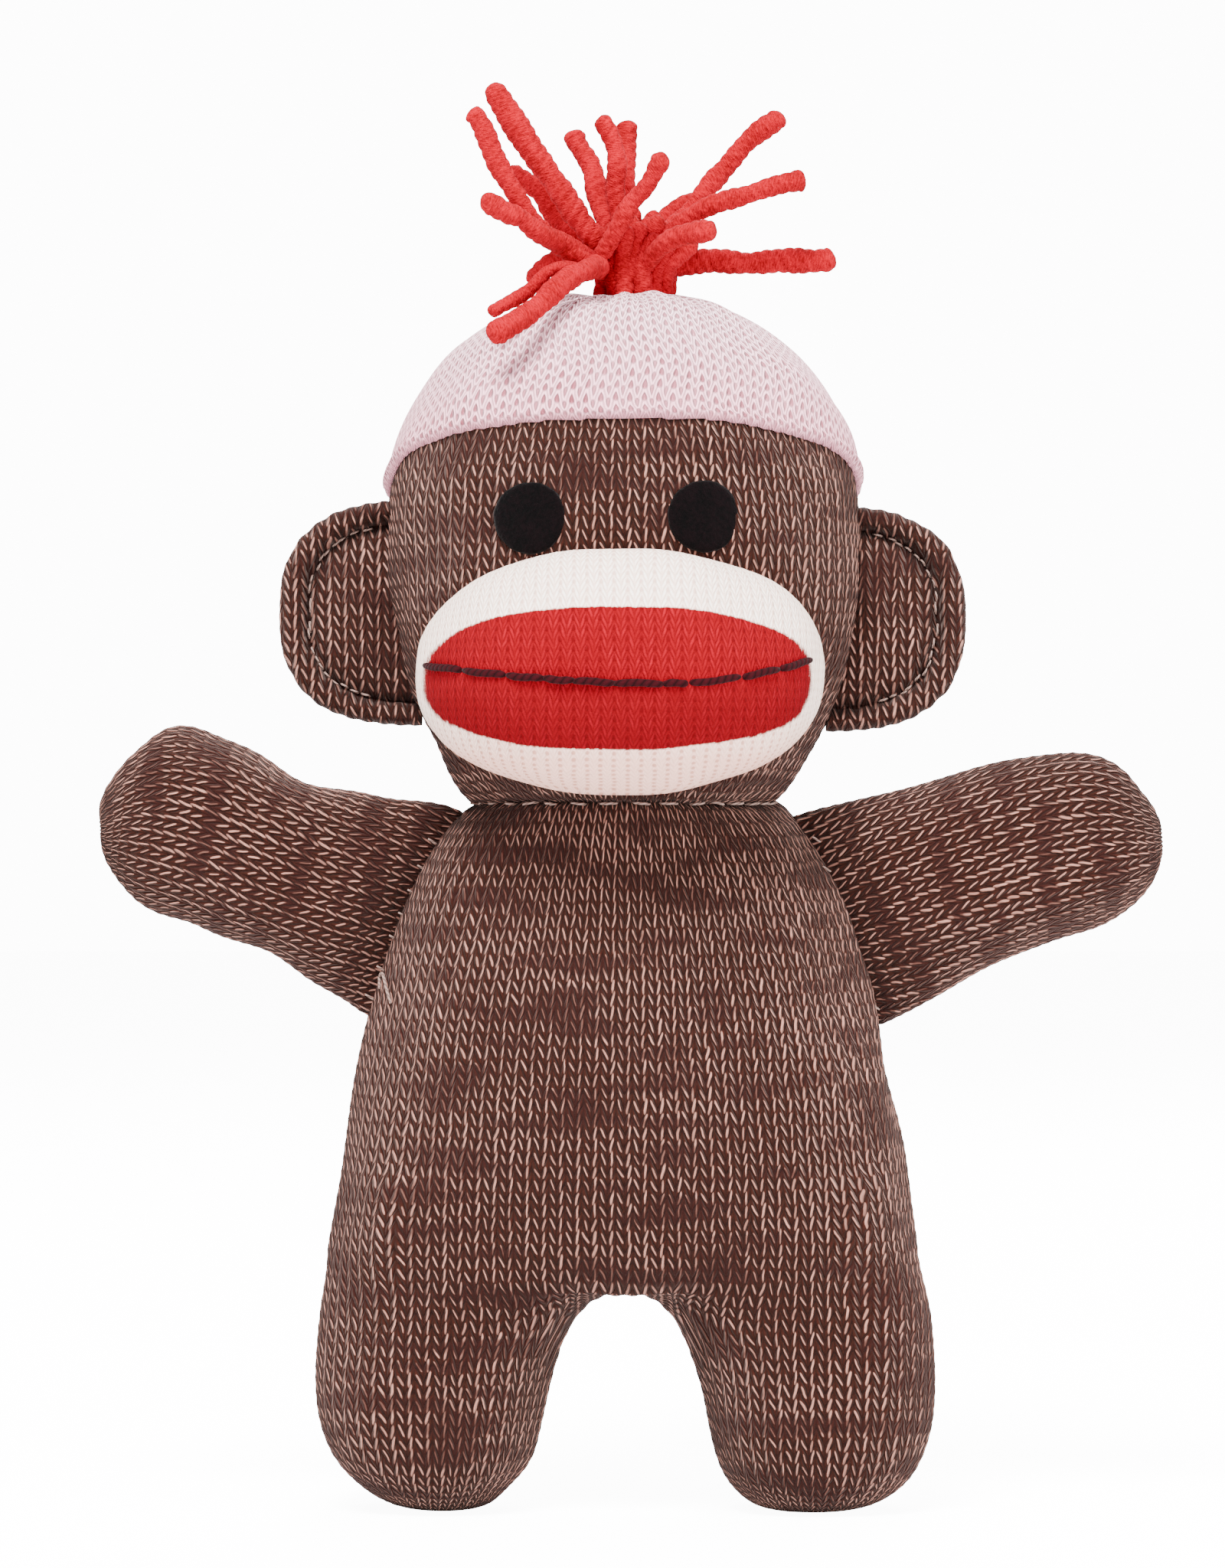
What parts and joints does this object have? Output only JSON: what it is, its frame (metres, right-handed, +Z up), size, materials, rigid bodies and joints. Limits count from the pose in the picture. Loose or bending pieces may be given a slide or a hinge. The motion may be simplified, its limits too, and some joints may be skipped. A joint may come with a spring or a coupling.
{
  "type": "stuffed monkey",
  "caption": "Knitted plush monkey with stuffed limbs, large sewn-on muzzle, folding ears and a knit cap with a yarn pom-pom; stands on flat soles.",
  "frame": {"origin": "middle of the bounding box's underside, on the plane of the two soles", "axes": "+Z up, the monkey faces -Y, its own left is on +X"},
  "size_m": [0.152, 0.0681, 0.2046],
  "materials": {
    "marl_knit": "matte",
    "fibrefill": "matte",
    "cream_knit": "matte",
    "red_knit": "matte",
    "cap_knit": "matte",
    "black_felt": "matte",
    "red_yarn": "matte",
    "brown_yarn": "matte",
    "grey_thread": "matte"
  },
  "bodies": {
    "torso": {"torso_skin": "marl_knit", "torso_stuffing": "fibrefill", "neck_stitching": "grey_thread", "left_shoulder_stitching": "grey_thread", "right_shoulder_stitching": "grey_thread"},
    "head": {"head_skin": "marl_knit", "head_stuffing": "fibrefill", "muzzle_skin": "cream_knit", "lips": "red_knit", "muzzle_stuffing": "fibrefill", "mouth_yarn": "brown_yarn", "left_eye": "black_felt", "right_eye": "black_felt", "hat": "cap_knit", "pompom_tie": "red_yarn", "pompom_strand_01": "red_yarn", "pompom_strand_02": "red_yarn", "pompom_strand_03": "red_yarn", "pompom_strand_04": "red_yarn", "pompom_strand_05": "red_yarn", "pompom_strand_06": "red_yarn", "pompom_strand_07": "red_yarn", "pompom_strand_08": "red_yarn", "pompom_strand_09": "red_yarn", "pompom_strand_10": "red_yarn", "pompom_strand_11": "red_yarn", "pompom_strand_12": "red_yarn", "pompom_strand_13": "red_yarn", "pompom_strand_14": "red_yarn", "pompom_strand_15": "red_yarn", "pompom_strand_16": "red_yarn"},
    "left_ear": {"left_ear_skin": "marl_knit", "left_ear_padding": "fibrefill", "left_ear_topstitch": "grey_thread"},
    "right_ear": {"right_ear_skin": "marl_knit", "right_ear_padding": "fibrefill", "right_ear_topstitch": "grey_thread"},
    "left_arm": {"left_arm_skin": "marl_knit", "left_arm_stuffing": "fibrefill"},
    "right_arm": {"right_arm_skin": "marl_knit", "right_arm_stuffing": "fibrefill"},
    "left_leg": {"left_leg_skin": "marl_knit", "left_leg_stuffing": "fibrefill"},
    "right_leg": {"right_leg_skin": "marl_knit", "right_leg_stuffing": "fibrefill"}
  },
  "joints": [
    {"name": "neck_nod", "type": "hinge", "parent": "torso", "child": "head", "pos_m": [-0.001, 0.0054, 0.101], "axis": [1, 0, 0], "range_deg": [-20, 20], "stiffness_Nm_per_rad": 0.12},
    {"name": "left_ear_fold", "type": "hinge", "parent": "head", "child": "left_ear", "pos_m": [0.0334, 0.0054, 0.128], "axis": [0, 0, 1], "range_deg": [-30, 30], "stiffness_Nm_per_rad": 0.004},
    {"name": "right_ear_fold", "type": "hinge", "parent": "head", "child": "right_ear", "pos_m": [-0.0354, 0.0054, 0.128], "axis": [0, 0, -1], "range_deg": [-30, 30], "stiffness_Nm_per_rad": 0.004},
    {"name": "left_shoulder_swing", "type": "hinge", "parent": "torso", "child": "left_arm", "pos_m": [0.03121, 0.0054, 0.08489], "axis": [0.3511, 0, -0.9363], "range_deg": [-45, 55], "stiffness_Nm_per_rad": 0.03},
    {"name": "right_shoulder_swing", "type": "hinge", "parent": "torso", "child": "right_arm", "pos_m": [-0.03319, 0.0054, 0.08615], "axis": [0.3962, 0, 0.9182], "range_deg": [-45, 55], "stiffness_Nm_per_rad": 0.03},
    {"name": "left_hip_swing", "type": "hinge", "parent": "torso", "child": "left_leg", "pos_m": [0.0205, 0.0054, 0.036], "axis": [-1, 0, 0], "range_deg": [-20, 55], "stiffness_Nm_per_rad": 0.5},
    {"name": "right_hip_swing", "type": "hinge", "parent": "torso", "child": "right_leg", "pos_m": [-0.0225, 0.0054, 0.036], "axis": [-1, 0, 0], "range_deg": [-20, 55], "stiffness_Nm_per_rad": 0.5}
  ]
}
